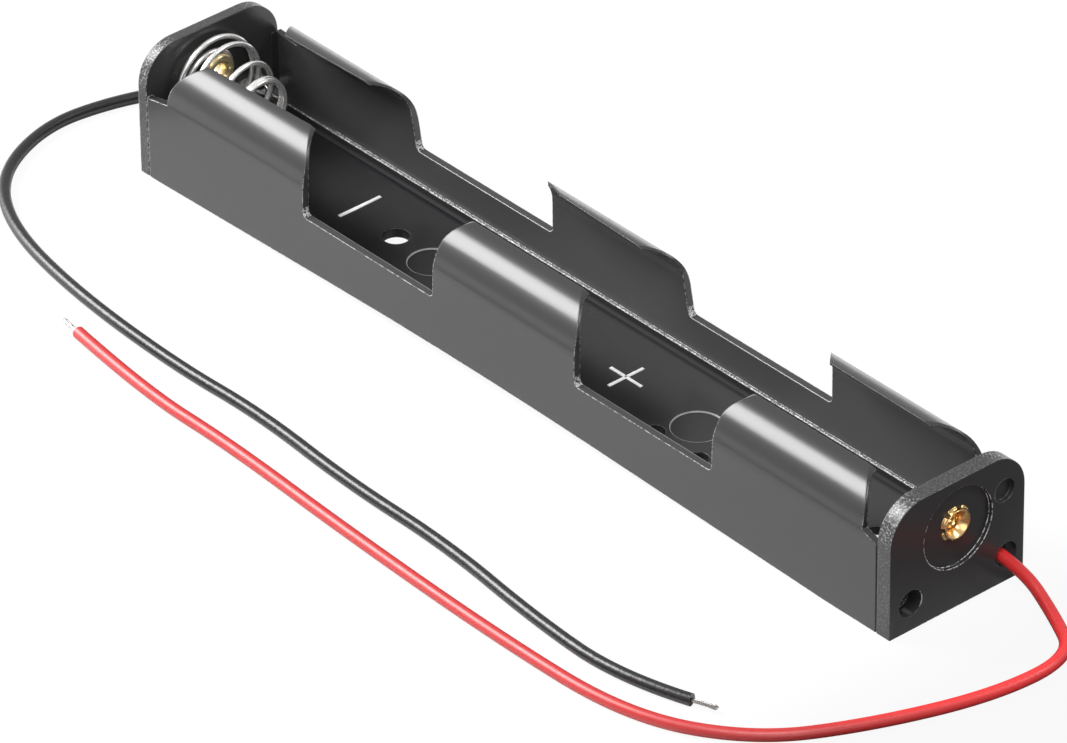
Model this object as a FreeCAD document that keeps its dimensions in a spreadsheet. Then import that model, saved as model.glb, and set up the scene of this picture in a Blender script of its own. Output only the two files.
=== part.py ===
import FreeCAD, Part
import math
import os
import Sketcher

# Open holder for two AA cells in line, with a lead at each end. Millimetres, +Z up.
# The origin is under the middle of the tray. The far end, with the spring, is at -X,
# and the near end, with the fixed contact, is at +X. The front side is at -Y.

SIZES = {
    # The moulded tray
    "length": 107.0,
    "width": 16.6,
    "height": 13.85,
    "far_plate": 1.17,
    "near_plate": 1.74,
    "plate_corner": 4.0,
    "seam_width": 0.18,
    "seam_depth": 0.14,
    "wall": 0.78,
    "curl_radius": 4.5,
    "inner_curl": 3.4,
    "lip_thickness": 0.26,
    "floor_top": 2.05,
    "floor_thickness": 1.0,
    "sole_width": 1.3,
    "ledge_height": 2.9,
    "ledge_width": 0.38,
    "floor_fillet": 0.3,
    # Between the ends the long walls' lower edges rise to a low, wide arch. The two sizes
    # ending in first and last count from the two ends, and the crest is where the two
    # slopes would meet without their rounding
    "arch_first": 2.5,
    "arch_crest": 48.5,
    "arch_last": 8.5,
    "arch_high": 1.3,
    "arch_radius": 680.0,
    # The six curled flaps and the low walls between them
    "flap_first": 4.4,
    "flap_last": 3.9,
    "flap_length": 20.2,
    "back_stagger": 1.65,
    "back_early": 0.85,
    "back_first": 5.05,
    "low_wall": 6.4,
    "foot_fillet": 0.6,
    "far_corner_first": 3.9,
    "far_corner_middle": 1.6,
    "far_corner_last": 1.8,
    "far_lean": 0.25,
    "near_corner": 3.8,
    "corner_spread": 5.7,
    "near_lean_first": -0.35,
    "near_lean_middle": -0.1,
    "near_lean_last": 0.3,
    "back_lean": 1.5,
    "far_notch_low": 8.9,
    "far_notch_high": 9.5,
    "near_notch_low": 9.5,
    "near_notch_high": 10.2,
    "tooth_foot": 9.7,
    "tooth_run": 0.6,
    "tooth_high": 10.25,
    "tooth_low": 10.05,
    # How far each lip reaches in over the cells from the side wall. The back lips are cut
    # off at a slant at their far ends, over the length given as the run
    "lip_reach": 4.15,
    "front_far_reach": 3.1,
    "mouth_step": 9.8,
    "tip_reach": 1.3,
    "first_run": 2.45,
    "first_reach": 4.25,
    "first_end_reach": 3.4,
    "middle_run": 4.0,
    "middle_reach": 3.3,
    "middle_end_reach": 4.4,
    "last_run": 3.0,
    "last_reach": 3.9,
    "last_tip_reach": 0.9,
    # The holes and marks in the floor
    "screw_bore": 2.75,
    "screw_first": 28.05,
    "screw_last": 11.05,
    "screw_side": 0.45,
    "pin_bore": 2.2,
    "pin_spacing": 6.1,
    "pin_last": 31.25,
    "pin_side": 3.5,
    "ejector_depth": 0.12,
    "ejector_small": 4.8,
    "ejector_large": 5.2,
    "ejector_first": 33.75,
    "ejector_last": 35.25,
    "ejector_side": 0.05,
    # The end plates: contact axis, counterbore and the three corner holes
    "contact_side": 0.05,
    "contact_high": 8.95,
    "counterbore": 8.5,
    "counterbore_high": 8.65,
    "counterbore_depth": 0.45,
    "corner_hole": 2.8,
    "corner_inset": 2.55,
    "corner_high": 2.95,
    "lead_hole": 2.6,
    "lead_inset": 2.15,
    "lead_high": 2.92,
    "lead_off_centre": 0.15,
    "dimple": 2.4,
    "dimple_inset": 2.5,
    "dimple_below_top": 3.75,
    "dimple_depth": 0.5,
    # The brass eyelets
    "shank_radius": 1.1,
    "shank_wall": 0.22,
    "head_radius": 1.9,
    "head_thickness": 0.4,
    "head_round": 0.24,
    "petal_radius": 1.95,
    "petal_thickness": 0.3,
    "petal_bevel": 0.18,
    "petal_slot": 0.34,
    "petal_root": 1.32,
    "fit_clearance": 0.04,
    # The stamped contact and the solder tag
    "sheet_metal": 0.3,
    "contact_half_width": 4.4,
    "contact_half_height": 4.0,
    "contact_round": 1.0,
    "contact_top_round": 2.0,
    "contact_notch": 2.0,
    "tag_radius": 1.8,
    "tail_width": 1.9,
    "tail_inset": 2.7,
    "tail_low": 4.3,
    "tail_round": 0.5,
    "solder_radius": 0.95,
    "solder_height": 0.75,
    "solder_top": 0.81,
    "solder_round": 0.57,
    # The conical spring. The insets count from the tray's long side to the wire's middle
    "spring_wire": 0.55,
    "spring_eye_gap": 0.1,
    "spring_side": -0.3,
    "spring_high": 7.8,
    "spring_base_inset": 3.5,
    "spring_second_inset": 3.72,
    "spring_third_inset": 4.6,
    "spring_end_inset": 5.3,
    "spring_second_rise": 1.85,
    "spring_third_rise": 5.05,
    "spring_length": 7.75,
    # The leads
    "lead_diameter": 1.25,
    "lead_stub": 0.8,
    "core_diameter": 0.45,
    "core_straight": 0.9,
    "tip_length": 2.7,
}

PETAL_SLOTS = 6
FLAPS = 3
MARGIN = 1.0

V = FreeCAD.Vector
doc = FreeCAD.newDocument("cell_holder")
sheet = doc.addObject("Spreadsheet::Sheet", "Sizes")


class Size:
    """A number together with the sheet expression that gives it."""

    def __init__(self, value, text):
        self.value = float(value)
        self.text = text

    def join(self, sign, other, value):
        return Size(value, "(%s %s %s)" % (self.text, sign, size(other).text))

    def __add__(self, other):
        return self.join("+", other, self.value + size(other).value)

    def __sub__(self, other):
        return self.join("-", other, self.value - size(other).value)

    def __mul__(self, other):
        return self.join("*", other, self.value * size(other).value)

    def __truediv__(self, other):
        return self.join("/", other, self.value / size(other).value)

    def __neg__(self):
        return Size(-self.value, "(0 - %s)" % self.text)


def size(number):
    return number if isinstance(number, Size) else Size(number, repr(float(number)))


class Sheet:
    """The driving sizes by name, each bound to its cell."""


for row, (name, number) in enumerate(SIZES.items(), start=1):
    sheet.set("A%d" % row, name)
    sheet.set("B%d" % row, repr(number))
    sheet.setAlias("B%d" % row, name)
    setattr(Sheet, name, Size(number, "Sizes." + name))
doc.recompute()
S = Sheet

# Places that several pieces share
half_length = S.length / 2
half_width = S.width / 2
far_face = S.far_plate - half_length
near_face = half_length - S.near_plate
bay_side = half_width - S.wall
floor_side = bay_side - S.ledge_width
above = S.height + MARGIN
flap_pitch = (S.length - S.flap_first - S.flap_length - S.flap_last) / 2
corner_side = half_width - S.corner_inset
lead_side = half_width - S.lead_inset
dimple_side = half_width - S.dimple_inset
dimple_high = S.height - S.dimple_below_top
tail_side = half_width - S.tail_inset
tail_high = S.tail_low + S.tail_width / 2


def along(distance):
    """The X of a point that lies this far from the outer face of the far plate."""
    return size(distance) - half_length


def plane_sketch(body, name, role, offset=0):
    """A sketch on one of the body's own origin planes, moved along the plane's normal."""
    sketch = body.newObject("Sketcher::SketchObject", name)
    plane = next(f for f in body.Origin.OriginFeatures if f.Role == role)
    sketch.AttachmentSupport = (plane, [""])
    sketch.MapMode = "FlatFace"
    sketch.setExpression(".AttachmentOffset.Base.z", size(offset).text)
    return sketch


def bind(sketch, kind, *where_and_size):
    """Add a dimension to the sketch and bind it to the sheet."""
    *where, value = where_and_size
    value = size(value)
    number = sketch.addConstraint(Sketcher.Constraint(kind, *where, value.value))
    sketch.setExpression("Constraints[%d]" % number, value.text)


def place(sketch, geometry, point, a, b):
    bind(sketch, "DistanceX", -1, 1, geometry, point, a)
    bind(sketch, "DistanceY", -1, 1, geometry, point, b)


def circle(sketch, a, b, radius):
    a, b, radius = size(a), size(b), size(radius)
    shape = Part.Circle(V(a.value, b.value, 0), V(0, 0, 1), radius.value)
    geometry = sketch.addGeometry(shape, False)
    place(sketch, geometry, 3, a, b)
    bind(sketch, "Radius", geometry, radius)


def outline(sketch, corners):
    """A closed outline through corners (a, b) or (a, b, radius), bound to the sheet."""
    corners = [tuple(size(c) for c in corner) for corner in corners]
    points = [V(c[0].value, c[1].value, 0) for c in corners]
    count = len(corners)
    leave, arrive, arcs = {}, {}, {}
    for i, corner in enumerate(corners):
        point = points[i]
        leave[i] = arrive[i] = point
        if len(corner) == 3:
            inward = (point - points[i - 1]).normalize()
            outward = (points[(i + 1) % count] - point).normalize()
            turn = inward.getAngle(outward)
            left = inward.cross(outward).z > 0
            reach = corner[2].value * math.tan(turn / 2)
            arrive[i] = point - inward * reach
            leave[i] = point + outward * reach
            across = V(-inward.y, inward.x, 0) if left else V(inward.y, -inward.x, 0)
            middle = arrive[i] + across * corner[2].value
            first, last = (arrive[i], leave[i]) if left else (leave[i], arrive[i])
            start = math.atan2(first.y - middle.y, first.x - middle.x)
            end = math.atan2(last.y - middle.y, last.x - middle.x)
            base = Part.Circle(middle, V(0, 0, 1), corner[2].value)
            arcs[i] = (Part.ArcOfCircle(base, start, end), 1 if left else 2)
    lines = []
    for i in range(count):
        line = Part.LineSegment(leave[i], arrive[(i + 1) % count])
        lines.append(sketch.addGeometry(line, False))
    for i, corner in enumerate(corners):
        before, after = lines[i - 1], lines[i]
        if i not in arcs:
            sketch.addConstraint(Sketcher.Constraint("Coincident", before, 2, after, 1))
            place(sketch, after, 1, corner[0], corner[1])
            continue
        shape, entry = arcs[i]
        arc = sketch.addGeometry(shape, False)
        mark = sketch.addGeometry(Part.Point(points[i]), True)
        sketch.addConstraint([
            Sketcher.Constraint("PointOnObject", mark, 1, before),
            Sketcher.Constraint("PointOnObject", mark, 1, after),
            Sketcher.Constraint("Tangent", before, 2, arc, entry),
            Sketcher.Constraint("Tangent", arc, 3 - entry, after, 1),
        ])
        place(sketch, mark, 1, corner[0], corner[1])
        bind(sketch, "Radius", arc, corner[2])


def feature(body, kind, name, sketch, length, backwards=False):
    """A pad or pocket of the sketch. Backwards turns it to the other side of the sketch."""
    made = body.newObject("PartDesign::" + kind, name)
    made.Profile = sketch
    made.setExpression("Length", size(length).text)
    made.Reversed = backwards
    return made


def new_body(label):
    body = doc.addObject("PartDesign::Body", label)
    body.Label = label
    return body


def plate_outline(sketch, side, top, radius):
    outline(sketch, [(-side, 0), (side, 0), (side, top, radius), (-side, top, radius)])


def end_plates(body):
    for name, start, thickness in (
        ("far_end", -half_length, S.far_plate),
        ("near_end", near_face, S.near_plate),
    ):
        sketch = plane_sketch(body, name + "_outline", "YZ_Plane", start)
        plate_outline(sketch, half_width, S.height, S.plate_corner)
        feature(body, "Pad", name + "_plate", sketch, thickness)


def tray(body):
    """The long walls, set off from each end plate by a fine seam."""
    inner = plane_sketch(body, "seam_outline", "YZ_Plane", -half_length)
    side = half_width - S.seam_depth
    plate_outline(inner, side, S.height - S.seam_depth, S.curl_radius)
    feature(body, "Pad", "seam_core", inner, S.length)
    start = far_face + S.seam_width
    outer = plane_sketch(body, "wall_outline", "YZ_Plane", start)
    plate_outline(outer, half_width, S.height, S.curl_radius)
    length = near_face - S.seam_width - start
    feature(body, "Pad", "walls", outer, length)


def cell_bay(body):
    """The room for the cells: a flat floor, a ledge on each side and a round top."""
    sketch = plane_sketch(body, "bay_outline", "YZ_Plane", far_face)
    top = S.height - S.lip_thickness
    outline(sketch, [
        (-floor_side, S.floor_top, S.floor_fillet),
        (floor_side, S.floor_top, S.floor_fillet),
        (floor_side, S.ledge_height),
        (bay_side, S.ledge_height),
        (bay_side, top, S.inner_curl),
        (-bay_side, top, S.inner_curl),
        (-bay_side, S.ledge_height),
        (-floor_side, S.ledge_height),
    ])
    feature(body, "Pocket", "cell_bay", sketch, near_face - far_face, True)


def underside(body):
    """The shallow hollow under the floor, which leaves a sole all round to stand on."""
    sketch = plane_sketch(body, "underside_outline", "XY_Plane")
    side = half_width - S.sole_width
    outline(sketch, [(far_face, -side), (near_face, -side), (near_face, side), (far_face, side)])
    feature(body, "Pocket", "underside", sketch, S.floor_top - S.floor_thickness, True)


def arch(body):
    """The lower edges of the long walls, which arch up a little between the ends."""
    sketch = plane_sketch(body, "arch_outline", "XZ_Plane", half_width + MARGIN)
    far_foot = along(S.arch_first)
    near_foot = along(S.length - S.arch_last)
    outline(sketch, [
        (far_foot, 0),
        (far_foot, -MARGIN),
        (near_foot, -MARGIN),
        (near_foot, 0),
        (along(S.arch_crest), S.arch_high, S.arch_radius),
    ])
    feature(body, "Pocket", "arch", sketch, S.width + MARGIN * 2)


def flap_start(number, back=False):
    if back and number == 0:
        return along(S.back_first)
    from_end = S.flap_first + flap_pitch * number
    return along(from_end - S.back_early if back else from_end)


def flap_end(number, back=False):
    from_end = S.flap_first + flap_pitch * number + S.flap_length
    return along(from_end - S.back_stagger if back else from_end)


def mouth(body):
    """The open top between the lips, which lean a little from flap to flap."""
    sketch = plane_sketch(body, "mouth_outline", "XY_Plane", above)
    edge = half_width - S.lip_reach
    tip = half_width - S.tip_reach
    last_tip = half_width - S.last_tip_reach
    gap_one = flap_start(1) - S.mouth_step
    gap_two = flap_start(2) - S.mouth_step
    first, middle, last = (flap_start(number, True) for number in range(FLAPS))
    outline(sketch, [
        (far_face, -(half_width - S.front_far_reach)),
        (gap_one, -edge),
        (near_face, -edge),
        (near_face, edge),
        (last + S.last_run, half_width - S.last_reach),
        (last, last_tip),
        (gap_two, last_tip),
        (gap_two, half_width - S.middle_end_reach),
        (middle + S.middle_run, half_width - S.middle_reach),
        (middle, tip),
        (gap_one, tip),
        (gap_one, half_width - S.first_end_reach),
        (first + S.first_run, half_width - S.first_reach),
        (first, tip),
        (far_face, tip),
    ])
    feature(body, "Pocket", "mouth", sketch, above - (S.height - S.curl_radius))


def rounded_end(x, lean, corner, turn):
    """The top of a flap's end: it leans by this much and rounds into the lip."""
    return [
        (x + lean * turn, S.height, corner),
        (x + (lean + S.corner_spread) * turn, S.height),
        (x + (lean + S.corner_spread) * turn, above),
    ]


def side_cuts(body, name, back):
    """The two windows of one side wall and the notches beside its end plates."""
    side = half_width + MARGIN
    sketch = plane_sketch(body, name + "_cuts", "XZ_Plane", -side if back else side)
    near_leans = [S.near_lean_first, S.near_lean_middle, S.near_lean_last]
    far_corners = [S.far_corner_first, S.far_corner_middle, S.far_corner_last]
    far_ends = []
    near_ends = []
    for number in range(FLAPS):
        start = flap_start(number, back)
        rounded = rounded_end(start, S.far_lean, far_corners[number], 1)
        far_ends.append([(start, above)] if back else rounded)
        lean = S.back_lean if back else near_leans[number]
        near = rounded_end(flap_end(number, back), lean, S.near_corner, -1)
        near_ends.append(near[::-1])
    for number in range(FLAPS - 1):
        foot = (flap_end(number, back), S.low_wall, S.foot_fillet)
        next_foot = (flap_start(number + 1, back), S.low_wall, S.foot_fillet)
        outline(sketch, near_ends[number] + [foot, next_foot] + far_ends[number + 1])
    if back:
        far_notch = [
            (far_face, S.tooth_foot),
            (far_face + S.tooth_run, S.tooth_high),
            (flap_start(0, back), S.tooth_low),
        ]
    else:
        far_notch = [(far_face, S.far_notch_low), (flap_start(0), S.far_notch_high)]
    outline(sketch, [(far_face, above)] + far_notch + far_ends[0])
    near_notch = [
        (flap_end(FLAPS - 1, back), S.near_notch_high),
        (near_face, S.near_notch_low),
        (near_face, above),
    ]
    outline(sketch, near_ends[-1] + near_notch)
    feature(body, "Pocket", name + "_windows", sketch, side, back)


def floor_holes(body):
    """Two screw holes, two pin holes and the two shallow ejector marks."""
    holes = plane_sketch(body, "floor_hole_circles", "XY_Plane", S.floor_top)
    for place_from_end in (S.screw_first, S.length - S.screw_last):
        circle(holes, along(place_from_end), S.screw_side, S.screw_bore / 2)
    last_pin = S.length - S.pin_last
    for place_from_end in (last_pin - S.pin_spacing, last_pin):
        circle(holes, along(place_from_end), -S.pin_side, S.pin_bore / 2)
    feature(body, "Pocket", "floor_holes", holes, S.floor_top)
    marks = plane_sketch(body, "ejector_circles", "XY_Plane", S.floor_top)
    circle(marks, along(S.ejector_first), S.ejector_side, S.ejector_small / 2)
    last_mark = S.length - S.ejector_last
    circle(marks, along(last_mark), S.ejector_side, S.ejector_large / 2)
    feature(body, "Pocket", "ejector_marks", marks, S.ejector_depth)


def plate_holes(body, name, face, thickness, backwards):
    """Counterbore, eyelet hole, corner hole, lead hole and dimple of one end plate."""
    recesses = plane_sketch(body, name + "_counterbore_circle", "YZ_Plane", face)
    circle(recesses, S.contact_side, S.counterbore_high, S.counterbore / 2)
    feature(body, "Pocket", name + "_counterbore", recesses, S.counterbore_depth, backwards)
    dimples = plane_sketch(body, name + "_dimple_circle", "YZ_Plane", face)
    circle(dimples, dimple_side, dimple_high, S.dimple / 2)
    feature(body, "Pocket", name + "_dimple", dimples, S.dimple_depth, backwards)
    holes = plane_sketch(body, name + "_hole_circles", "YZ_Plane", face)
    circle(holes, S.contact_side, S.contact_high, S.shank_radius + S.fit_clearance)
    circle(holes, -corner_side, S.corner_high, S.corner_hole / 2)
    circle(holes, lead_side, S.lead_high, S.lead_hole / 2)
    feature(body, "Pocket", name + "_holes", holes, thickness, backwards)


def make_housing():
    """The whole moulding: tray, flaps and end plates in one piece."""
    body = new_body("housing")
    tray(body)
    end_plates(body)
    cell_bay(body)
    underside(body)
    arch(body)
    mouth(body)
    side_cuts(body, "front", False)
    side_cuts(body, "back", True)
    floor_holes(body)
    plate_holes(body, "far", -half_length, S.far_plate, True)
    plate_holes(body, "near", half_length, S.near_plate, False)
    return body


def make_eyelet(label, face, outward, grip):
    """A hollow eyelet on the contact axis: round head inside, split clinched end outside.

    face is the X of the head's seat, and outward is the side that its clinched end is on.
    """
    body = new_body(label)
    bore = S.shank_radius - S.shank_wall
    profile = plane_sketch(body, label + "_profile", "XZ_Plane")
    outline(profile, [
        (-grip - S.petal_thickness, bore + S.petal_thickness),
        (-grip, bore),
        (S.head_thickness, bore, S.shank_wall),
        (S.head_thickness, S.head_radius, S.head_round),
        (0, S.head_radius),
        (0, S.shank_radius),
        (-grip, S.shank_radius),
        (-grip, S.petal_radius),
        (-grip - S.petal_bevel, S.petal_radius),
    ])
    turned = body.newObject("PartDesign::Revolution", label + "_turned")
    turned.Profile = profile
    turned.ReferenceAxis = (profile, ["H_Axis"])
    turned.Angle = 360
    slot = plane_sketch(body, label + "_slot_outline", "YZ_Plane", -grip)
    half_slot = S.petal_slot / 2
    outline(slot, [
        (S.petal_root, -half_slot),
        (S.petal_radius + MARGIN, -half_slot),
        (S.petal_radius + MARGIN, half_slot),
        (S.petal_root, half_slot),
    ])
    cut = feature(body, "Pocket", label + "_slot", slot, S.petal_thickness + MARGIN)
    doc.recompute()
    slots = body.newObject("PartDesign::PolarPattern", label + "_slots")
    slots.Originals = [cut]
    slots.Axis = (slot, ["N_Axis"])
    slots.Angle = 360
    slots.Occurrences = PETAL_SLOTS
    body.Tip = slots
    angle = 0 if outward < 0 else 180
    spot = V(face.value, S.contact_side.value, S.contact_high.value)
    body.Placement = FreeCAD.Placement(spot, FreeCAD.Rotation(V(0, 0, 1), angle))
    for axis, place_text in (
        ("x", face.text), ("y", S.contact_side.text), ("z", S.contact_high.text)
    ):
        body.setExpression(".Placement.Base." + axis, place_text)
    return body


def make_contact():
    """The stamped contact inside the near plate, with a tail beside the lead hole."""
    body = new_body("positive_contact")
    sketch = plane_sketch(body, "contact_outline", "YZ_Plane", near_face)
    left = S.contact_side - S.contact_half_width
    right = S.contact_side + S.contact_half_width
    low = S.contact_high - S.contact_half_height
    high = S.contact_high + S.contact_half_height
    tail_right = tail_side + S.tail_width / 2
    step = S.tail_low + S.tail_width
    outline(sketch, [
        (left, low, S.contact_round),
        (right - S.contact_notch, low),
        (right - S.contact_notch, S.tail_low),
        (tail_right, S.tail_low, S.tail_round),
        (tail_right, step, S.tail_round),
        (right, step),
        (right, high, S.contact_top_round),
        (left, high, S.contact_top_round),
    ])
    circle(sketch, S.contact_side, S.contact_high, S.shank_radius + S.fit_clearance)
    feature(body, "Pad", "contact_sheet", sketch, S.sheet_metal, True)
    return body


def make_tag():
    """The solder tag under the spring's eye: a ring with a bent tail by the lead hole."""
    body = new_body("negative_solder_tag")
    left = S.contact_side - S.tail_width / 2
    right = S.contact_side + S.tail_width / 2
    end = tail_side + S.tail_width / 2
    step = S.tail_low + S.tail_width
    tail = plane_sketch(body, "tag_tail", "YZ_Plane", far_face)
    outline(tail, [
        (left, S.tail_low, S.contact_round),
        (end, S.tail_low, S.tail_round),
        (end, step, S.tail_round),
        (right, step),
        (right, S.contact_high),
        (left, S.contact_high),
    ])
    feature(body, "Pad", "tag_tail_sheet", tail, S.sheet_metal)
    ring = plane_sketch(body, "tag_ring", "YZ_Plane", far_face)
    circle(ring, S.contact_side, S.contact_high, S.tag_radius)
    feature(body, "Pad", "tag_ring_sheet", ring, S.sheet_metal)
    hole = plane_sketch(body, "tag_hole", "YZ_Plane", far_face + S.sheet_metal)
    circle(hole, S.contact_side, S.contact_high, S.shank_radius + S.fit_clearance)
    feature(body, "Pocket", "tag_eyelet_hole", hole, S.sheet_metal)
    return body


def make_solder(label, face, toward):
    """A low dome of solder on the tail of a contact."""
    body = new_body(label)
    profile = plane_sketch(body, label + "_profile", "XZ_Plane")
    outline(profile, [
        (0, 0),
        (S.solder_height, 0),
        (S.solder_height, S.solder_top, S.solder_round),
        (0, S.solder_radius),
    ])
    turned = body.newObject("PartDesign::Revolution", label + "_turned")
    turned.Profile = profile
    turned.ReferenceAxis = (profile, ["H_Axis"])
    turned.Angle = 360
    spot = V(face.value, tail_side.value, tail_high.value)
    angle = 0 if toward > 0 else 180
    body.Placement = FreeCAD.Placement(spot, FreeCAD.Rotation(V(0, 0, 1), angle))
    for axis, place_text in (
        ("x", face.text), ("y", tail_side.text), ("z", tail_high.text)
    ):
        body.setExpression(".Placement.Base." + axis, place_text)
    return body


def solid_feature(label, shape, spot=V(0, 0, 0)):
    made = doc.addObject("Part::Feature", label)
    made.Label = label
    made.Shape = shape
    made.Placement = FreeCAD.Placement(spot, FreeCAD.Rotation())
    return made


ARC_SHARE = 0.45


def rounded_path(points):
    """Straight runs joined by tangent arcs, each as large as its two runs allow."""
    edges = []
    radii = []
    last = points[0]
    for before, here, after in zip(points, points[1:], points[2:]):
        arriving = here - before
        leaving = after - here
        turn = arriving.getAngle(leaving)
        reach = ARC_SHARE * min(arriving.Length, leaving.Length)
        radius = reach / math.tan(turn / 2)
        start = here - arriving.normalize() * reach
        end = here + leaving.normalize() * reach
        inward = (start + end) * 0.5 - here
        middle = here + inward.normalize() * (math.hypot(radius, reach) - radius)
        edges.append(Part.LineSegment(last, start).toShape())
        edges.append(Part.Arc(start, middle, end).toShape())
        radii.append(radius)
        last = end
    edges.append(Part.LineSegment(last, points[-1]).toShape())
    return Part.Wire(edges), radii


def round_bar(path, start, direction, diameter):
    """A round bar along the path, which starts at this point in this direction."""
    section = Part.Wire([Part.Circle(start, direction, diameter / 2).toShape()])
    return path.makePipeShell([section], True, True)


POINTS_PER_TURN = 12
EASE_TURNS = (-0.2, -0.1, 0.0, 0.1, 0.2)


def between(keys, turns, column):
    """The value of one column at this many turns, on straight lines between the keys."""
    turns = min(max(turns, keys[0][0]), keys[-1][0])
    for low, high in zip(keys, keys[1:]):
        if turns <= high[0]:
            share = (turns - low[0]) / (high[0] - low[0])
            return low[column] + share * (high[column] - low[column])


def eased(keys, turns, column):
    """The same with its kinks rounded, as wire takes a bend."""
    return sum(between(keys, turns + ease, column) for ease in EASE_TURNS) / len(EASE_TURNS)


def spring_keys():
    """Turns from the start, radius, rise and share of the way from eyelet to coil axis."""
    rest = S.spring_wire.value / 2
    eye = S.shank_radius.value + S.spring_eye_gap.value + rest
    side = half_width.value
    base = side - S.spring_base_inset.value
    end = side - S.spring_end_inset.value
    top = S.spring_length.value - rest
    return [
        (0.0, eye, rest, 0),
        (0.75, eye, rest, 0),
        (1.5, base, rest, 1),
        (2.0, base, rest, 1),
        (3.0, side - S.spring_second_inset.value, S.spring_second_rise.value, 1),
        (4.0, side - S.spring_third_inset.value, S.spring_third_rise.value, 1),
        (5.0, end, top - rest, 1),
        (6.25, end, top, 1),
    ]


def make_spring():
    """The conical spring: eye under the eyelet's head, wide base turn, small free end."""
    keys = spring_keys()
    total = keys[-1][0]
    count = int(total * POINTS_PER_TURN)
    side = S.spring_side.value - S.contact_side.value
    high = S.spring_high.value - S.contact_high.value
    points = []
    for step in range(count + 1):
        turns = total * step / count
        radius, rise, share = (eased(keys, turns, column) for column in (1, 2, 3))
        angle = 2 * math.pi * turns + math.pi / 2
        points.append(V(
            rise,
            share * side + radius * math.cos(angle),
            share * high + radius * math.sin(angle),
        ))
    curve = Part.BSplineCurve()
    curve.interpolate(points)
    start = curve.value(curve.FirstParameter)
    direction = curve.tangent(curve.FirstParameter)[0]
    path = Part.Wire([curve.toShape()])
    shape = round_bar(path, start, direction, S.spring_wire.value)
    seat = far_face.value + S.sheet_metal.value + S.fit_clearance.value
    spot = V(seat, S.contact_side.value, S.contact_high.value)
    return solid_feature("negative_spring", shape, spot)


def make_tube(label, points, diameter):
    """A round lead or conductor, with its volume held against section times length."""
    path, radii = rounded_path(points)
    shape = round_bar(path, points[0], points[1] - points[0], diameter)
    expected = math.pi * diameter ** 2 / 4 * path.Length
    tightest = [round(radius, 1) for radius in sorted(radii)[:4]]
    print("%s: length %.1f, tightest bends %s, volume ratio %.4f" % (
        label, path.Length, tightest, shape.Volume / expected
    ))
    return solid_feature(label, shape)


# The routes of the two leads, which lie on the surface that the tray stands on. X counts
# outwards from the outer face of the lead's own end plate, and Y is square to it.
SURFACE_GAP = 0.005
lead_level = S.lead_diameter.value / 2 + SURFACE_GAP
RED_ROUTE = [
    (2.5, 5.9, 2.7),
    (7.5, 5.0, lead_level),
    (13.4, 1.9, lead_level),
    (13.1, -7.5, lead_level),
    (9.0, -19.0, lead_level),
    (3.7, -28.3, lead_level),
    (-6.5, -34.3, lead_level),
    (-23.5, -34.8, lead_level),
    (-45.5, -34.1, lead_level),
    (-63.5, -33.0, lead_level),
    (-76.0, -33.2, lead_level),
    (-88.0, -31.5, lead_level),
]
BLACK_ROUTE = [
    (2.5, 5.9, 2.7),
    (7.9, 4.4, lead_level),
    (11.0, -3.0, lead_level),
    (11.9, -11.0, lead_level),
    (7.7, -19.8, lead_level),
    (-0.5, -24.8, lead_level),
    (-13.5, -27.3, lead_level),
    (-29.5, -28.2, lead_level),
    (-41.5, -27.6, lead_level),
    (-55.5, -28.8, lead_level),
    (-69.5, -28.7, lead_level),
    (-83.5, -30.4, lead_level),
    (-95.5, -30.8, lead_level),
    (-102.5, -28.3, lead_level),
]

# The Y of the lead hole's lead that these routes are drawn for
DRAWN_SIDE = 6.0


def make_lead(colour, outward, inner_face, solder_face, route):
    """The insulation of one lead, its stripped inner end and its tinned far end."""
    outer_face = half_length.value * outward
    side = lead_side.value - S.lead_off_centre.value
    sideways = side - DRAWN_SIDE
    high = S.lead_high.value - S.lead_off_centre.value
    inner = V(inner_face.value - outward * S.lead_stub.value, side, high)
    points = [inner]
    for x, y, z in route:
        points.append(V(outer_face + outward * x, y + sideways, z))
    make_tube(colour + "_lead", points, S.lead_diameter.value)
    last_run = (points[-1] - points[-2]).normalize()
    tip = Part.makeCylinder(S.core_diameter.value / 2, S.tip_length.value, V(), last_run)
    solid_feature(colour + "_lead_tip", tip, points[-1])
    bend = inner - V(outward * S.core_straight.value, 0, 0)
    joint = V(
        solder_face.value - outward * S.solder_height.value / 2,
        tail_side.value,
        tail_high.value,
    )
    below = joint + V(bend.x - joint.x, 0, -S.core_diameter.value)
    make_tube(colour + "_lead_core", [inner, bend, below, joint], S.core_diameter.value)


positive_seat = near_face - S.sheet_metal
negative_seat = far_face + S.sheet_metal
wire_seat = S.spring_wire + S.fit_clearance * 2
near_web = S.near_plate - S.counterbore_depth
far_web = S.far_plate - S.counterbore_depth

make_housing()
make_contact()
make_tag()
make_eyelet("positive_eyelet", positive_seat, 1, near_web + S.sheet_metal)
make_eyelet("negative_eyelet", negative_seat + wire_seat, -1, far_web + S.sheet_metal + wire_seat)
make_spring()
make_solder("positive_solder_joint", positive_seat, -1)
make_solder("negative_solder_joint", negative_seat, 1)
make_lead("red", 1, near_face, positive_seat, RED_ROUTE)
make_lead("black", -1, far_face, negative_seat, BLACK_ROUTE)
doc.recompute()

failed = [o.Label for o in doc.Objects if {"Invalid", "Error"} & set(o.State)]
if failed:
    raise RuntimeError("not built: " + ", ".join(failed))

kinds = ("PartDesign::Body", "Part::Feature")
parts = [o for o in doc.Objects if o.TypeId in kinds]
os.makedirs("parts", exist_ok=True)
for part in parts:
    if part.Shape.isNull() or not part.Shape.isValid():
        raise RuntimeError("bad shape: " + part.Label)
for part in parts:
    print("%-24s %2d solid %9.3f mm3" % (part.Label, len(part.Shape.Solids), part.Shape.Volume))
    part.Shape.exportStep("parts/%s.step" % part.Label)
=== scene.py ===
import math
from types import SimpleNamespace

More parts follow.
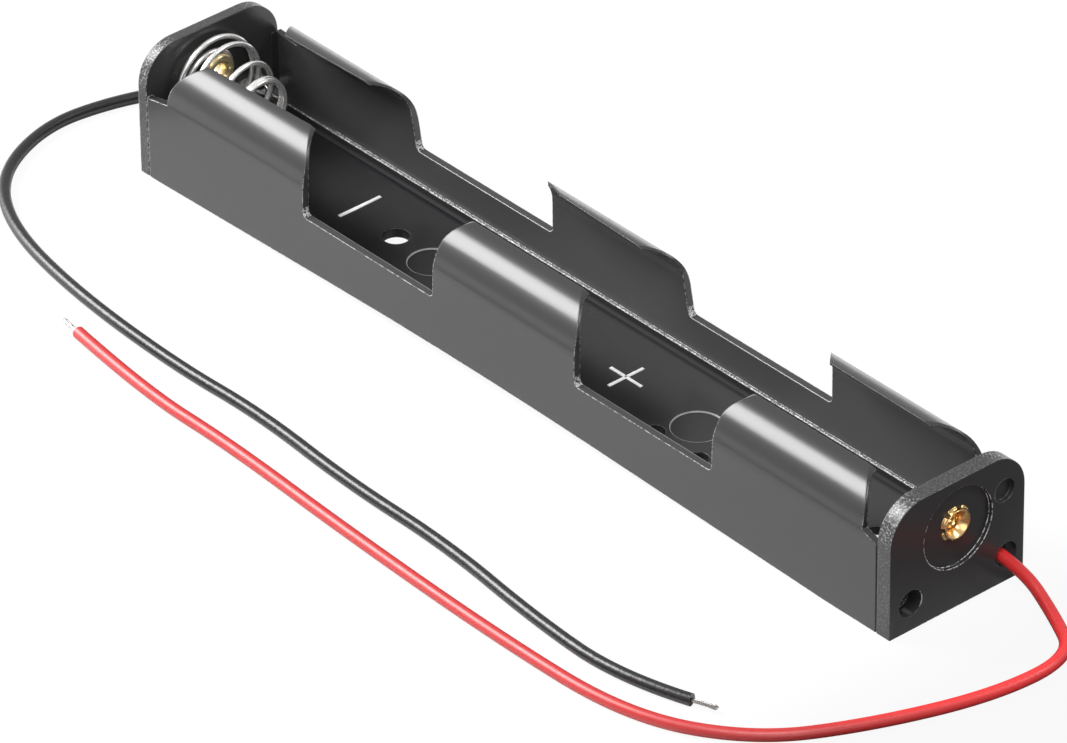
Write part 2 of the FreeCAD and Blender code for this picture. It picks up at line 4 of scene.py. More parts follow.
import bpy
from mathutils import Matrix, Vector

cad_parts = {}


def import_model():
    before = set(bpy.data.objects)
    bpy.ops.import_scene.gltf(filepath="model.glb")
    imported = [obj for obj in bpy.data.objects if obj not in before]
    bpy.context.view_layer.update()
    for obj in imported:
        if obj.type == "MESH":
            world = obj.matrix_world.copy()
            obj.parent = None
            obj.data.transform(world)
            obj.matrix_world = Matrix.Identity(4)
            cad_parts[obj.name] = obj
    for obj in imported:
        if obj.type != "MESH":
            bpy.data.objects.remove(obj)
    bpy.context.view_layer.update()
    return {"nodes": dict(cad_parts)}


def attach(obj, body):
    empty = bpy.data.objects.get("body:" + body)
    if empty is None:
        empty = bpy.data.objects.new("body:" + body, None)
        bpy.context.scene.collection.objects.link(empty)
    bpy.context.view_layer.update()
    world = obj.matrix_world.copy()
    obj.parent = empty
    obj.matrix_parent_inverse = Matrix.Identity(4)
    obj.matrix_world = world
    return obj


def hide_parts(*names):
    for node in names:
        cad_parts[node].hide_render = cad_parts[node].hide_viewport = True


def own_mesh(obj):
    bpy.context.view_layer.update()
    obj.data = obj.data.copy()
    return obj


# Looks of an open holder for two AA cells in line. Metres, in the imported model's frame.
MM = 0.001

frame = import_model()


# Materials

class Nodes:
    """The node tree of a material or of the world, built a node at a time."""

    def __init__(self, owner):
        owner.use_nodes = True
        self.owner = owner
        self.tree = owner.node_tree
        self.shader = self.tree.nodes.get("Principled BSDF")

    def put(self, value, socket):
        """Link another node's output into the socket, or set the socket's own value."""
        if isinstance(value, bpy.types.NodeSocket):
            self.tree.links.new(value, socket)
        elif socket.type == "RGBA":
            socket.default_value = (*value, 1)
        else:
            socket.default_value = value

    def add(self, kind, inputs=None, **settings):
        node = self.tree.nodes.new("ShaderNode" + kind)
        for name, value in settings.items():
            setattr(node, name, value)
        for name, value in (inputs or {}).items():
            self.put(value, node.inputs[name])
        return node

    def feed(self, **values):
        """Set or link the shader's own sockets, by name with underscores for spaces."""
        for name, value in values.items():
            self.put(value, self.shader.inputs[name.replace("_", " ")])

    def place(self):
        """Position on the piece, in metres."""
        return self.add("TexCoord").outputs["Object"]

    def parts(self, vector):
        """The vector's X, Y and Z."""
        split = self.add("SeparateXYZ", {"Vector": vector})
        return [split.outputs[axis] for axis in "XYZ"]

    def noise(self, scale, detail):
        made = self.add("TexNoise", {"Vector": self.place(), "Scale": scale, "Detail": detail})
        return made.outputs["Fac"]

    def spread(self, value, low, high, start=0.0, end=1.0):
        """The value's stretch from start to end mapped to low to high."""
        made = self.add("MapRange", {
            "Value": value, "From Min": start, "From Max": end, "To Min": low, "To Max": high,
        })
        return made.outputs["Result"]

    def math(self, operation, first, second=0.0):
        return self.add("Math", {0: first, 1: second}, operation=operation).outputs["Value"]

    def product(self, first, *others):
        for other in others:
            first = self.math("MULTIPLY", first, other)
        return first

    def highest(self, first, *others):
        for other in others:
            first = self.math("MAXIMUM", first, other)
        return first

    def above(self, value, limit):
        """1 where the value is over the limit, else 0."""
        return self.math("GREATER_THAN", value, limit)

    def below(self, value, limit):
        """1 where the value is under the limit, else 0."""
        return self.math("LESS_THAN", value, limit)

    def mixed(self, factor, first, second):
        made = self.add("Mix", {"Factor": factor}, data_type="RGBA")
        sockets = [s for s in made.inputs if s.type == "RGBA"]
        for socket, colour in zip(sockets, (first, second)):
            self.put(colour, socket)
        return next(s for s in made.outputs if s.type == "RGBA")

    def bump(self, height, depth, normal=None):
        made = self.add("Bump", {"Height": height, "Distance": depth, "Strength": 0.6})
        if normal is not None:
            self.put(normal, made.inputs["Normal"])
        return made.outputs["Normal"]


# Parts of the moulding with a finish of their own, some of it painted shade and painted light, as the
# millimetres
# that they lie between: x, y and z in the frame, and along and side as distances from the two middle
# planes
IN_THE_BAY = (None, 51.3)
ZONES = {
    "near_plate": {"x": (51.8, None)},
    "far_plate": {"x": (None, -52.35)},
    "near_face": {"x": (52.6, None)},
    "plate_side": {"side": (7.6, None)},
    "plate_top": {"z": (12.3, None)},
    "ledge": {"z": (2.85, 2.95), "side": (None, 7.36)},
    "below_ledge": {"z": (None, 2.87), "side": (6.8, 7.2), "along": IN_THE_BAY},
    "sill": {"z": (6.25, 6.5), "side": (None, 7.75)},
    "bed": {"z": (1.9, 2.3), "side": (None, 7.2), "along": IN_THE_BAY},
    "back_wall": {"y": (7.0, None), "along": IN_THE_BAY},
    "far_back": {"x": (None, -43.0), "y": (0.0, None)},
    "seam": {"x": (51.4, None), "side": (7.9, None)},
    "around_hole": {"x": (52.6, None), "side": (4.6, None)},
    "feet": {"z": (5.9, 7.3), "side": (7.3, None), "along": IN_THE_BAY},
}
# The ring marks of the ejector pins on the floor: place along X and radius, and half the
# width of the band that holds such a ring's edge
EJECTOR_MARKS = [(-19.75 * MM, 2.4 * MM), (18.25 * MM, 2.6 * MM)]
EJECTOR_BAND = 0.25 * MM
# The plates' rounded shoulders lie where side and height add up to between these
SHOULDER = (17.9 * MM, 19.2 * MM)
# The share of the way over the shoulder from which the rim is coarse
COARSE_FROM = 0.38
# Between these heights, on the way up to the flaps' lips, the edges' wear and painted highlight fade
LIP_HEIGHTS = (10.8 * MM, 11.8 * MM)
# Between these places along X the painted shade on the tray's floor turns from its darker far half into
# the lighter near one
BED_SHADE = (-20.0 * MM, 20.0 * MM)
# How squarely a surface faces an axis, from 0 to 1, to count as facing it
SQUARELY = 0.7
MOSTLY = 0.5
PARTLY = 0.3


def moulding_zones(m, x, y, z, true_normal):
    """Masks of the zones, 1 on the zone and 0 elsewhere, some only where they face one way."""
    side = m.math("ABSOLUTE", y)
    measures = {"x": x, "y": y, "z": z, "side": side, "along": m.math("ABSOLUTE", x)}
    zone = SimpleNamespace()
    for name, ranges in ZONES.items():
        masks = []
        for measure, (low, high) in ranges.items():
            if low is not None:
                masks.append(m.above(measures[measure], low * MM))
            if high is not None:
                masks.append(m.below(measures[measure], high * MM))
        setattr(zone, name, m.product(*masks))

    facing_x, facing_y, facing_z = m.parts(true_normal)
    end_facing = m.math("ABSOLUTE", facing_x)
    zone.shoulder = m.spread(m.math("ADD", side, z), 0.0, 1.0, *SHOULDER)
    plates = m.highest(zone.near_plate, zone.far_plate)
    outer = m.highest(zone.plate_side, zone.plate_top, m.above(zone.shoulder, COARSE_FROM))
    zone.rim = m.product(plates, outer, m.below(end_facing, MOSTLY))
    zone.ledge = m.product(zone.ledge, m.above(facing_z, SQUARELY))
    zone.back_wall = m.product(zone.back_wall, m.below(facing_y, -MOSTLY))
    zone.feet = m.product(zone.feet, m.above(end_facing, PARTLY))

    rings = []
    for centre, radius in EJECTOR_MARKS:
        across = m.math("SUBTRACT", x, centre)
        away = m.math("SQRT", m.math("ADD", m.product(across, across), m.product(y, y)))
        inner = m.above(away, radius - EJECTOR_BAND)
        rings.append(m.product(inner, m.below(away, radius + EJECTOR_BAND)))
    zone.rings = m.product(zone.bed, m.highest(*rings))
    return zone


def moulded_plastic():
    """Black satin plastic: fine grain, coarse on the end plates' rims, ragged bright edges that are
    partly wear and partly painted highlight, painted highlights on the rims and ledge tops, and painted
    shade and light on inner faces.
    """
    m = Nodes(bpy.data.materials.new("moulded_plastic"))
    x, y, z = m.parts(m.place())
    true_normal = m.add("NewGeometry").outputs["Normal"]
    zone = moulding_zones(m, x, y, z, true_normal)
    # How much painted shade darkens the tray's floor, most at its far half
    bed_painted_shade = m.product(zone.bed, m.spread(x, 1.0, 0.4, *BED_SHADE))
    grain = m.noise(5200.0, 2.0)
    coarse = m.noise(5200.0, 1.5)
    cloud = m.noise(90.0, 3.0)

    # Edges, partly wear and partly painted highlight: ragged, whole on the sills and rings, and none on
    # some places
    bevelled = m.add("Bevel", {"Radius": 0.18 * MM}, samples=8).outputs["Normal"]
    turned = m.add("VectorMath", {0: bevelled, 1: true_normal}, operation="DOT_PRODUCT")
    rounded_edge_band = m.spread(turned.outputs["Value"], 1.0, 0.0, 0.84, 0.97)
    ragged = m.spread(m.noise(3800.0, 2.0), 0.0, 1.0, 0.42, 0.56)
    dull_bed = m.product(0.8, m.math("SUBTRACT", zone.bed, zone.rings))
    edges_left_plain = m.highest(zone.far_back, zone.seam, zone.around_hole, dull_bed)
    below_lips = m.spread(z, 1.0, 0.12, *LIP_HEIGHTS)
    edge = m.product(
        rounded_edge_band, m.highest(ragged, zone.sill, zone.rings), m.math("SUBTRACT", below_lips, edges_left_plain),
    )
    # Bright specks on the ends of the window jambs, put in with the edges: painted sparkle
    sparkle = m.product(zone.feet, m.spread(coarse, 0.0, 1.0, 0.44, 0.54))
    edge = m.highest(edge, sparkle)

    # Colour: the body, then painted shade and light on the inner faces, then the speckled rims and
    # ledges with painted highlights, then the edges' wear and painted highlight
    colour = m.mixed(cloud, (0.029, 0.029, 0.03), (0.031, 0.031, 0.032))
    # The tray's floor painted darker: painted shade
    colour = m.mixed(bed_painted_shade, colour, (0.012, 0.012, 0.013))
    # The inner face of the back wall painted lighter: painted light
    colour = m.mixed(zone.back_wall, colour, (0.055, 0.055, 0.056))
    # The corner at the foot of the ledges painted darker: painted shade
    colour = m.mixed(zone.below_ledge, colour, (0.022, 0.022, 0.023))
    speckle = m.spread(coarse, 0.0, 1.0, 0.5, 0.68)
    # The rims' flecks grow brighter over the plates' rounded shoulders: a painted highlight on the
    # grain
    fleck_colour_and_shoulder_highlight = m.mixed(zone.shoulder, (0.09, 0.09, 0.09), (0.3, 0.3, 0.3))
    colour = m.mixed(zone.rim, colour, m.mixed(speckle, (0.026, 0.026, 0.027), fleck_colour_and_shoulder_highlight))
    # The ledge tops painted in nearly white flecks: painted highlight
    bright = m.mixed(speckle, (0.1, 0.1, 0.1), (0.9, 0.9, 0.9))
    colour = m.mixed(zone.ledge, colour, bright)
    # The edges' light colour is partly wear and partly painted highlight, whiter on the near plate's
    # face
    wear_and_highlight_colour = m.mixed(zone.near_face, (0.5, 0.5, 0.51), (0.95, 0.95, 0.95))
    colour = m.mixed(edge, colour, wear_and_highlight_colour)

    # Sheen and relief
    rough = m.math("ADD", m.spread(cloud, 0.235, 0.268), m.product(zone.rim, 0.1))
    rough = m.math("ADD", rough, m.product(zone.below_ledge, 0.5))
    matt = m.highest(m.product(zone.below_ledge, 0.8), m.product(bed_painted_shade, 0.75))
    coarse_relief = m.product(coarse, m.highest(zone.rim, zone.ledge), 1.7)
    relief = m.math("ADD", m.product(grain, 0.1), coarse_relief)
    m.feed(
        Base_Color=colour, Roughness=rough, Normal=m.bump(relief, 0.03 * MM, bevelled),
        Specular_IOR_Level=m.spread(matt, 0.5, 0.05),
    )
    return m.owner


def metal(name, colour, dark, rough=0.26, scale=1500.0, metallic=1.0):
    """Metal in two shades, finely scuffed."""
    m = Nodes(bpy.data.materials.new(name))
    wear = m.noise(scale, 4.0)
    stain = m.noise(scale / 6, 2.0)
    shade = m.mixed(m.spread(stain, 0.0, 1.0, 0.35, 0.75), colour, dark)
    m.feed(
        Base_Color=shade, Metallic=metallic, Roughness=m.spread(wear, rough * 0.8, rough * 1.02),
        Normal=m.bump(wear, 0.008 * MM),
    )
    return m.owner


# The leads' colour turns between these places along Y from a lighter one by the tray, painted light
# where the tray shades the lead, to a darker one on the floor, painted shade where the lamps light it
LEAD_COLOUR_TURN = (-24.0 * MM, -6.0 * MM)


def insulation(name, colour, floor_painted_shade, rough, gloss, scale, depth):
    """Soft satin PVC with small ridges from the extruder, painted lighter by the tray where the tray
    shades it and darker out on the floor where it is lit.
    """
    m = Nodes(bpy.data.materials.new(name))
    ridges = m.noise(scale, 1.5)
    y = m.parts(m.place())[1]
    ahead = m.spread(y, 1.0, 0.0, *LEAD_COLOUR_TURN)
    m.feed(
        Base_Color=m.mixed(ahead, colour, floor_painted_shade), Roughness=m.spread(ridges, rough * 0.85, rough * 1.2),
        Normal=m.bump(ridges, depth), Specular_IOR_Level=gloss,
    )
    return m.owner


plastic = moulded_plastic()
nickel = metal("nickel_wire", (0.95, 0.94, 0.93), (0.8, 0.79, 0.78), metallic=0.75)
sheet_nickel = metal("nickel_sheet", (0.7, 0.69, 0.66), (0.55, 0.54, 0.51))
brass = metal("brass", (0.8, 0.52, 0.24), (0.5, 0.3, 0.11))
# The far eyelet's brass is the near one's painted paler: painted light, for the coil's shade over it
brass_painted_light = metal("brass_painted_light", (0.97, 0.84, 0.56), (0.75, 0.6, 0.3), metallic=0.8)
# The solder's dark grey is painted shade, for the shade between the spring's turns
solder = metal("solder", (0.3, 0.3, 0.31), (0.2, 0.2, 0.21), rough=0.42)
tinned = metal(
    "tinned_copper", (0.45, 0.44, 0.43), (0.25, 0.24, 0.23), scale=2600.0, metallic=0.9,
)
# The floor marks' near white is a painted highlight, for their raised tops catching the light
mark_painted_highlight = metal(
    "marks_painted_highlight", (0.95, 0.95, 0.95), (0.7, 0.7, 0.71), rough=0.36, scale=3200.0, metallic=0.0,
)
# Each lead's first colour, by the tray, is painted light, and its second, out on the floor, painted
# shade
red_pvc = insulation(
    "red_pvc", (0.78, 0.028, 0.03), (0.43, 0.012, 0.013),
    rough=0.42, gloss=0.8, scale=2100.0, depth=0.012 * MM,
)
black_pvc = insulation(
    "black_pvc", (0.009, 0.009, 0.01), (0.005, 0.005, 0.006),
    rough=0.32, gloss=0.6, scale=2900.0, depth=0.04 * MM,
)

FINISHES = {
    "housing": plastic,
    "positive_contact": sheet_nickel,
    "negative_solder_tag": sheet_nickel,
    "positive_eyelet": brass,
    "negative_eyelet": brass_painted_light,
    "negative_spring": nickel,
    "positive_solder_joint": solder,
    "negative_solder_joint": solder,
    "red_lead": red_pvc,
    "red_lead_tip": tinned,
    "red_lead_core": tinned,
    "black_lead": black_pvc,
    "black_lead_tip": tinned,
    "black_lead_core": tinned,
}
for node, material in FINISHES.items():
    mesh = frame["nodes"][node].data
    mesh.materials.clear()
    mesh.materials.append(material)


# Mesh pieces

def mesh_piece(name, points, faces, material, slot, *nodes):
    """A smooth mesh that rides on the holder and stands for these CAD nodes."""
    mesh = bpy.data.meshes.new(name)
    mesh.from_pydata([tuple(p) for p in points], [], faces)
    mesh.polygons.foreach_set("use_smooth", [True] * len(mesh.polygons))
    mesh.materials.append(material)
    made = bpy.data.objects.new(name, mesh)
    bpy.context.scene.collection.objects.link(made)
    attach(made, "holder")
    if nodes:
        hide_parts(*nodes)
    return made


def swept(line, radii, sides):
    """Points and faces of a round bar along the line, closed by a face at each end."""
    points = []
    faces = []
    side = (line[1] - line[0]).orthogonal().normalized()
    for number, (spot, radius) in enumerate(zip(line, radii)):
        before = line[max(number - 1, 0)]
        after = line[min(number + 1, len(line) - 1)]
        along = (after - before).normalized()
        side = (side - along * along.dot(side)).normalized()
        up = along.cross(side)
        for step in range(sides):
            angle = 2 * math.pi * step / sides
            points.append(spot + (side * math.cos(angle) + up * math.sin(angle)) * radius)
    for ring in range(len(line) - 1):
        for step in range(sides):
            a = ring * sides + step
            b = ring * sides + (step + 1) % sides
            faces.append((a, b, b + sides, a + sides))
    faces.append(tuple(reversed(range(sides))))
    faces.append(tuple(range(len(points) - sides, len(points))))
    return points, faces


# The conical spring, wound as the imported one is: turns, radius, rise along X, and share of
# the way from the eyelet's axis to the coil's own axis. Millimetres
SPRING_WIRE = 0.55
SPRING_WIRE_END = 0.462
SPRING_STEPS = 300
SPRING_KEYS = [
    (0.0, 1.475, 0.275, 0.0),
    (0.75, 1.475, 0.275, 0.0),
    (1.5, 4.8, 0.275, 1.0),
    (2.0, 4.8, 0.275, 1.0),
    (3.0, 4.58, 1.85, 1.0),
    (4.0, 3.7, 5.05, 1.0),
    (5.0, 3.0, 7.2, 1.0),
    (6.25, 3.0, 7.475, 1.0),
]
EASE_TURNS = (-0.2, -0.1, 0.0, 0.1, 0.2)
SPRING_SEAT = -51.99
CONTACT_AXIS = (0.05, 8.95)
COIL_AXIS = (-0.3, 7.8)


def spring_value(turns, column):
    """A column of the spring's table at this many turns, its corners eased."""
    total = 0
    for ease in EASE_TURNS:
        at = min(max(turns + ease, 0.0), SPRING_KEYS[-1][0])
        low, high = next(
            pair for pair in zip(SPRING_KEYS, SPRING_KEYS[1:]) if at <= pair[1][0]
        )
        share = (at - low[0]) / (high[0] - low[0])
        total += low[column] + share * (high[column] - low[column])
    return total / len(EASE_TURNS)


def spring():
    """The coil as one swept wire."""
    line = []
    for step in range(SPRING_STEPS + 1):
        turns = SPRING_KEYS[-1][0] * step / SPRING_STEPS
        radius, rise, share = (spring_value(turns, column) for column in (1, 2, 3))
        angle = 2 * math.pi * turns + math.pi / 2
        line.append(Vector((
            SPRING_SEAT + rise,
            CONTACT_AXIS[0] + share * (COIL_AXIS[0] - CONTACT_AXIS[0]) + radius * math.cos(angle),
            CONTACT_AXIS[1] + share * (COIL_AXIS[1] - CONTACT_AXIS[1]) + radius * math.sin(angle),
        )) * MM)
    radii = [SPRING_WIRE / 2 * MM] * len(line)
    radii[0] = radii[-1] = SPRING_WIRE_END / 2 * MM
    points, faces = swept(line, radii, 16)
    made = mesh_piece("coil_spring", points, faces, nickel, "nickel_wire", "negative_spring")
    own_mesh(made)


def eased(corners, steps):
    """Points of a smooth curve between the outermost corners, with the others rounded off."""
    spans = len(corners) - 2
    points = []
    for step in range(steps + 1):
        at = step * spans / steps
        span = min(int(at), spans - 1)
        share = at - span
        first, corner, last = (Vector(corners[span + number]) for number in range(3))
        if span > 0:
            first = (first + corner) / 2
        if span < spans - 1:
            last = (corner + last) / 2
        points.append(first.lerp(corner, share).lerp(corner.lerp(last, share), share))
    return points


# The eyelets. Each outline runs from the middle of the bore over the rim to its seat and back
# along the barrel, as height above the seat and radius in millimetres
BARREL = [(0.0, 1.5), (0.0, 1.12), (-0.9, 1.1)]
CLINCHED_END = eased([
    (-0.9, 0.72), (-0.45, 0.72), (-0.2, 0.85), (0.07, 1.03), (0.29, 1.24), (0.44, 1.37),
    (0.47, 1.47), (0.37, 1.55), (0.21, 1.59), (0.12, 1.7), (0.06, 1.83), (0.02, 1.84),
], 18) + [(0.0, 1.8)] + BARREL
ROUND_HEAD = eased([
    (-0.9, 0.72), (-0.26, 0.71), (0.13, 0.79), (0.39, 1.04),
    (0.45, 1.37), (0.34, 1.68), (0.1, 1.87), (0.02, 1.87),
], 13) + [(0.0, 1.84)] + BARREL
# Where the clinched end is split: angle and half-width in degrees, and how soon a split's
# sides reach their full depth
SPLITS = [(17, 7), (74, 9), (131, 6), (186, 8), (243, 10), (306, 7)]
SPLIT_SIDE = 3
# The splits and the ripple are cut in from this radius outwards, in full after this much more
SPLIT_RADIUS = 1.5
SPLIT_RUN = 0.12
# The share of its height that the end loses in a split, and the heights of its two ripples
SPLIT_SINK = 0.35
RIPPLES = (0.03, 0.02)
EYELET_SIDES = 144
# Where along X the clinched ends sit in their counterbores, and the heads inside the bay
CLINCH_SEAT = 53.05
NEAR_HEAD_SEAT = 51.46
FAR_HEAD_SEAT = -51.4


def split_depth(degrees):
    """How deep the clinched end is split at this angle, from 0 to 1."""
    depth = 0.0
    for centre, width in SPLITS:
        away = abs((degrees - centre + 180) % 360 - 180)
        depth = max(depth, min(1.0, max(0.0, (width + SPLIT_SIDE - away) / SPLIT_SIDE)))
    return depth


def eyelet_end(outline, seat, outward, split):
    """One end of an eyelet about the contact axis, its splits cut into the outer part."""
    points = []
    faces = []
    for step in range(EYELET_SIDES):
        angle = 2 * math.pi * step / EYELET_SIDES
        notch = split_depth(math.degrees(angle)) if split else 0.0
        ripple = RIPPLES[0] * math.sin(3 * angle + 1) + RIPPLES[1] * math.sin(7 * angle)
        ripple = ripple if split else 0.0
        for height, radius in outline:
            outer = min(1.0, max(0.0, (radius - SPLIT_RADIUS) / SPLIT_RUN))
            radius_here = radius + outer * (ripple - notch * (radius - SPLIT_RADIUS))
            height_here = height * (1 - SPLIT_SINK * notch * outer)
            points.append((
                (seat + outward * height_here) * MM,
                (CONTACT_AXIS[0] + radius_here * math.cos(angle)) * MM,
                (CONTACT_AXIS[1] + radius_here * math.sin(angle)) * MM,
            ))
    count = len(outline)
    for step in range(EYELET_SIDES):
        for row in range(count):
            a = step * count + row
            b = step * count + (row + 1) % count
            c = (step + 1) % EYELET_SIDES * count + (row + 1) % count
            d = (step + 1) % EYELET_SIDES * count + row
            faces.append((a, b, c, d) if outward > 0 else (d, c, b, a))
    return points, faces


def eyelet(name, node, clinch_seat, head_seat, outward, material):
    """A whole eyelet: its clinched end outside the plate and its round head inside."""
    points, faces = eyelet_end(CLINCHED_END, clinch_seat, outward, True)
    more, more_faces = eyelet_end(ROUND_HEAD, head_seat, -outward, False)
    start = len(points)
    faces += [tuple(corner + start for corner in face) for face in more_faces]
    mesh_piece(name, points + more, faces, material, "brass", node)


# The stripped ends of the leads, in millimetres: one strand amid six, of three lengths, twisted
# in radians a millimetre, the lay a little open or closed for each millimetre
STRANDS = 7
STRAND_RADIUS = 0.078
STRAND_END_RADIUS = 0.04
STRIPPED_LENGTH = 2.7
STRAND_STAGGER = 0.12
STRAND_STEPS = 24
LAY_RADIUS = 0.145
LAY_OPENING = 0.012
LAY_TWIST = 0.9


def strands(name, node, start, toward):
    """The tinned strands of a stripped lead end, lightly twisted together."""
    along = Vector(toward).normalized()
    across = along.orthogonal().normalized()
    up = along.cross(across)
    points = []
    faces = []
    for number in range(STRANDS):
        length = STRIPPED_LENGTH - STRAND_STAGGER * (number % 3)
        middle = number == STRANDS - 1
        line = []
        for step in range(STRAND_STEPS + 1):
            far = length * step / STRAND_STEPS
            angle = 2 * math.pi * number / (STRANDS - 1) + far * LAY_TWIST
            lay = LAY_RADIUS + LAY_OPENING * far * math.sin(number * 2.1)
            lay = 0.0 if middle else lay
            offset = across * math.cos(angle) * lay + up * math.sin(angle) * lay
            line.append((Vector(start) + along * far + offset) * MM)
        radii = [STRAND_RADIUS * MM] * STRAND_STEPS + [STRAND_END_RADIUS * MM]
        some, some_faces = swept(line, radii, 8)
        faces += [tuple(corner + len(points) for corner in face) for face in some_faces]
        points += some
    return mesh_piece(name, points, faces, tinned, "tinned_copper", node)


# The raised marks on the tray's floor: foot, top and rounding of a stroke, in millimetres
MARK_FOOT = 1.98
MARK_TOP = 2.19
MARK_ROUNDING = 0.06


def floor_bar(name, x, y, half_x, half_y):
    """A plain raised stroke on the tray's floor, its top edges rounded."""
    points = []
    for z, inset in (
        (MARK_FOOT, 0.0),
        (MARK_TOP - MARK_ROUNDING, 0.0),
        (MARK_TOP, MARK_ROUNDING),
    ):
        for a, b in ((-1, -1), (1, -1), (1, 1), (-1, 1)):
            points.append(Vector((x + a * (half_x - inset), y + b * (half_y - inset), z)) * MM)
    faces = [(3, 2, 1, 0), (8, 9, 10, 11)]
    for row in (0, 4):
        for step in range(4):
            after = (step + 1) % 4
            faces.append((row + step, row + after, row + after + 4, row + step + 4))
    # The strokes are white as a painted highlight
    mesh_piece(name, points, faces, mark_painted_highlight, "moulding")


spring()
eyelet("clinched_eyelet", "positive_eyelet", CLINCH_SEAT, NEAR_HEAD_SEAT, 1, brass)
eyelet("spring_eyelet", "negative_eyelet", -CLINCH_SEAT, FAR_HEAD_SEAT, -1, brass_painted_light)
floor_bar("minus_mark", x=-31.8, y=1.28, half_x=0.19, half_y=2.62)
floor_bar("plus_mark_across", x=7.6, y=0.6, half_x=0.17, half_y=2.2)
floor_bar("plus_mark_along", x=7.6, y=0.6, half_x=2.2, half_y=0.17)


# Leads

LEAD_DIAMETER = 1.25 * MM
LEAD_LEVEL = 0.63
RED_ROUTE = [
    (50.96, 6.0, 2.77),
    (56.0, 5.9, 2.7),
    (61.0, 5.0, LEAD_LEVEL),
    (66.9, 1.9, LEAD_LEVEL),
    (66.6, -7.5, LEAD_LEVEL),
    (62.5, -19.0, LEAD_LEVEL),
    (57.2, -28.3, LEAD_LEVEL),
    (47.0, -34.3, LEAD_LEVEL),
    (30.0, -34.8, LEAD_LEVEL),
    (8.0, -34.1, LEAD_LEVEL),
    (-10.0, -33.0, LEAD_LEVEL),
    (-22.5, -33.2, LEAD_LEVEL),
    (-34.5, -31.5, LEAD_LEVEL),
]
BLACK_ROUTE = [
    (-51.53, 6.0, 2.77),
    (-56.0, 5.9, 2.7),
    (-61.4, 4.4, LEAD_LEVEL),
    (-64.5, -3.0, LEAD_LEVEL),
    (-65.4, -11.0, LEAD_LEVEL),
    (-61.2, -19.8, LEAD_LEVEL),
    (-53.0, -24.8, LEAD_LEVEL),
    (-40.0, -27.3, LEAD_LEVEL),
    (-24.0, -28.2, LEAD_LEVEL),
    (-12.0, -27.6, LEAD_LEVEL),
    (2.0, -28.8, LEAD_LEVEL),
    (16.0, -28.7, LEAD_LEVEL),
    (30.0, -30.4, LEAD_LEVEL),
    (42.0, -30.8, LEAD_LEVEL),
    (49.0, -28.3, LEAD_LEVEL),
]


def bare_end(name, node, route):
    """The strands that stick out of the lead's far end, in line with it."""
    return strands(name, node, route[-1], Vector(route[-1]) - Vector(route[-2]))


def lead(name, route, material):
    """One lead as a smooth curve through the air and over the floor."""
    curve = bpy.data.curves.new(name, "CURVE")
    curve.dimensions = "3D"
    spline = curve.splines.new("NURBS")
    spline.points.add(len(route) - 1)
    for point, place in zip(spline.points, route):
        point.co = (*(c * MM for c in place), 1)
    spline.order_u = 3
    spline.use_endpoint_u = True
    spline.resolution_u = 16
    curve.bevel_depth = LEAD_DIAMETER / 2
    curve.bevel_resolution = 6
    curve.use_fill_caps = True
    curve.materials.append(material)
    made = bpy.data.objects.new(name, curve)
    bpy.context.scene.collection.objects.link(made)
    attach(made, "holder")
    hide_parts(name)
    made.name = name + "_insulation"


red_tip = bare_end("red_lead_strands", "red_lead_tip", RED_ROUTE)
black_tip = bare_end("black_lead_strands", "black_lead_tip", BLACK_ROUTE)
lead("red_lead", RED_ROUTE, red_pvc)
lead("black_lead", BLACK_ROUTE, black_pvc)


# Floor, light and camera

# The soft shade close along the tray's back: the middle and half the size of a strip of floor
# along each axis, and how far the shade fades beyond it
SHADE_STRIP = {"X": (-10.0 * MM, 47.0 * MM), "Y": (9.0 * MM, 0.9 * MM)}
SHADE_FADE = 3.0 * MM
# The floor's colour is painted darker between these places along X, by the near plate: a painted
# shadow, seen mostly in the near plate's reflection
FLOOR_PAINTED_SHADOW = (50.0 * MM, 62.0 * MM)
FLOOR_HALF_SIZE = 3.0


def floor():
    """White to the camera with faint shadows, and a pale floor to every other ray, with a painted
    shadow by the near plate.
    """
    m = Nodes(bpy.data.materials.new("pale_floor"))
    place = dict(zip("XYZ", m.parts(m.place())))
    pale = m.spread(place["X"], 0.72, 0.12, *FLOOR_PAINTED_SHADOW)
    m.feed(Base_Color=pale, Roughness=0.8, Specular_IOR_Level=0.1)
    squares = []
    for axis, (middle, half) in SHADE_STRIP.items():
        away = m.math("ABSOLUTE", m.math("SUBTRACT", place[axis], middle))
        beyond = m.highest(m.math("SUBTRACT", away, half), 0.0)
        squares.append(m.product(beyond, beyond))
    reach = m.math("SQRT", m.math("ADD", *squares))
    glow = m.add("Emission", {"Strength": m.spread(reach, 0.02, 1.0, 0.0, SHADE_FADE)})
    share = m.product(m.add("LightPath").outputs["Is Camera Ray"], 0.93)
    mix = m.add("MixShader", {
        "Fac": share, 1: m.shader.outputs["BSDF"], 2: glow.outputs["Emission"],
    })
    m.put(mix.outputs["Shader"], m.tree.nodes["Material Output"].inputs["Surface"])
    mesh = bpy.data.meshes.new("floor")
    side = FLOOR_HALF_SIZE
    corners = [(-side, -side, 0), (side, -side, 0), (side, side, 0), (-side, side, 0)]
    mesh.from_pydata(corners, [], [(0, 1, 2, 3)])
    mesh.materials.append(m.owner)
    made = bpy.data.objects.new("floor", mesh)
    bpy.context.scene.collection.objects.link(made)


def world():
    """White to the camera, pale in reflections, and a weak even light otherwise."""
    made = bpy.data.worlds.new("studio")
    m = Nodes(made)
    path = m.add("LightPath")
    strength = 0.09
    for ray, share in (
        ("Is Camera Ray", 0.91),
        ("Is Glossy Ray", 0.57),
        ("Is Transmission Ray", 0.57),
    ):
        strength = m.math("ADD", strength, m.product(path.outputs[ray], share))
    ground = m.tree.nodes["Background"]
    m.put((1, 1, 1), ground.inputs["Color"])
    m.put(strength, ground.inputs["Strength"])
    bpy.context.scene.world = made


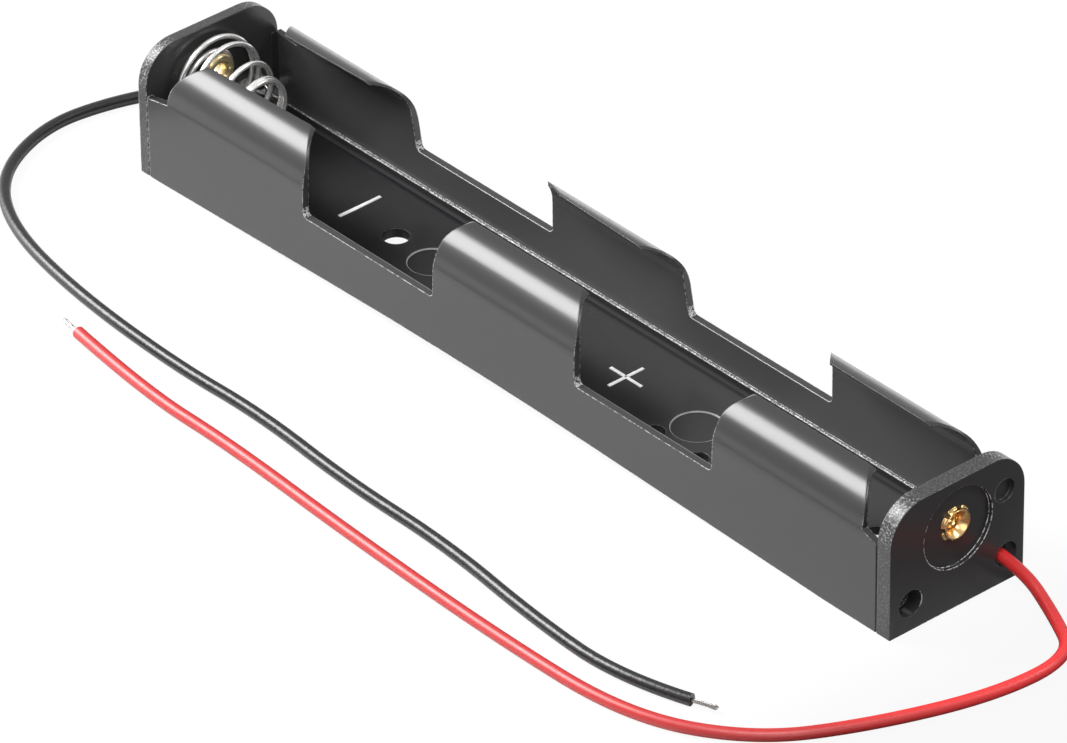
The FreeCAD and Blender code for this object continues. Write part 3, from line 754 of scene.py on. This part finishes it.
def soft_box(name, width, height, power, placing):
    """A rectangular light that shines along its own -Z, placed by this matrix."""
    light = bpy.data.lights.new(name, "AREA")
    light.shape = "RECTANGLE"
    light.size = width
    light.size_y = height
    light.energy = power
    made = bpy.data.objects.new(name, light)
    made.matrix_world = placing
    bpy.context.scene.collection.objects.link(made)
    return made


def lamp(name, toward, distance, width, height, power, level=(1, 0, 0)):
    """A soft box that stands in this direction from the object, its width along level."""
    back = Vector(toward).normalized()
    across = (Vector(level) - back * back.dot(Vector(level))).normalized()
    turn = Matrix((across, back.cross(across), back)).transposed()
    placing = Matrix.Translation(back * distance) @ turn.to_4x4()
    soft_box(name, width, height, power, placing)


def card():
    """A glowing card that lies behind the tray, for the sheen on the backs of the flaps."""
    placing = Matrix.Translation((-0.05, 0.21, 0.001)) @ Matrix.Rotation(math.pi, 4, "X")
    soft_box("card", 0.5, 0.36, 0.2, placing).visible_camera = False


def camera():
    """The photograph's own viewpoint, through a long lens."""
    lens = bpy.data.cameras.new("camera")
    lens.sensor_width = 36
    lens.lens = 326.361
    lens.clip_start = 0.05
    lens.clip_end = 20
    viewer = bpy.data.objects.new("camera", lens)
    spot = Vector((0.57442364, -0.50008492, 0.50395874))
    right = Vector((0.65794546, 0.75300969, -0.00917531))
    up = Vector((-0.41095594, 0.36923104, 0.83353683))
    back = Vector((0.63104912, -0.54465113, 0.55238769))
    turn = Matrix((right, up, back)).transposed()
    viewer.matrix_world = Matrix.Translation(spot) @ turn.to_4x4()
    bpy.context.scene.collection.objects.link(viewer)
    bpy.context.scene.camera = viewer
    bpy.context.scene.view_settings.view_transform = "Standard"


floor()
world()
lamp("key", (-0.63, -0.38, 0.68), distance=0.7, width=0.5, height=0.33, power=8.4)
lamp("top", (0.35, -0.3, 0.88), distance=0.8, width=0.3, height=0.3, power=3.0)
lamp("left", (-0.9, -0.3, 0.25), distance=0.8, width=0.5, height=0.4, power=2.0, level=(0, 1, 0))
lamp("right", (0.8, -0.5, 0.4), distance=0.9, width=0.5, height=0.5, power=1.6, level=(0, 1, 0))
lamp("glint", (0.53, 0.545, 0.61), distance=0.8, width=0.25, height=0.25, power=1.4)
card()
camera()
